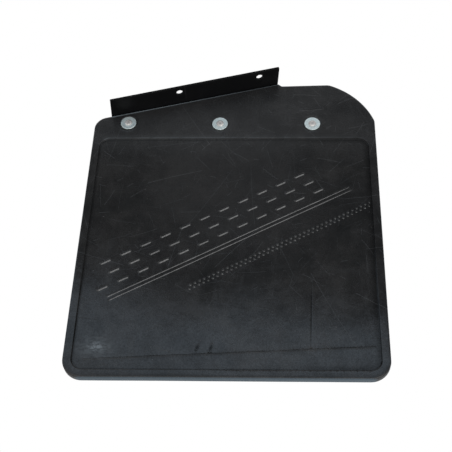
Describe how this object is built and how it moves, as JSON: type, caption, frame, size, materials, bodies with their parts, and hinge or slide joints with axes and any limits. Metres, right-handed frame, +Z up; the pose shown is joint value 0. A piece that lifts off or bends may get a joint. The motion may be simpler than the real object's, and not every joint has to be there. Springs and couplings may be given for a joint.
{
  "type": "mud flap",
  "caption": "Moulded rubber mud flap with a raised rim, riveted under large washers to a folded black steel bracket with a sloping bolt flange.",
  "frame": {"origin": "on the upper face of the bracket's flange, midway between its two bolt holes", "axes": "+Z up as the flap hangs, +X across the width towards the rounded shoulder, -Y towards the embossed front face and the flange"},
  "size_m": [0.36, 0.0481, 0.424],
  "materials": {
    "moulded_rubber": "satin moulded rubber, scuffed",
    "black_painted_steel": "gloss black paint",
    "zinc_plated_steel": "dull blue-grey zinc plate",
    "rivet_aluminium": "plain, lightly marked",
    "mandrel_steel": "plain wire, snapped end"
  },
  "bodies": {
    "bracket_side": {"mounting_bracket": "black_painted_steel", "rubber_top_band": "moulded_rubber", "front_washer_left": "zinc_plated_steel", "front_washer_middle": "zinc_plated_steel", "front_washer_right": "zinc_plated_steel", "rivet_body_left": "rivet_aluminium", "rivet_body_middle": "rivet_aluminium", "rivet_body_right": "rivet_aluminium", "rivet_mandrel_left": "mandrel_steel", "rivet_mandrel_middle": "mandrel_steel", "rivet_mandrel_right": "mandrel_steel"},
    "free_rubber": {"rubber_swinging_panel": "moulded_rubber"}
  },
  "joints": [
    {"name": "flap_flex", "type": "hinge", "parent": "bracket_side", "child": "free_rubber", "pos_m": [0.0195, 0.0234, -0.07583], "axis": [1, 0, 0], "range_deg": [-45, 45], "stiffness_Nm_per_rad": 1.6}
  ]
}
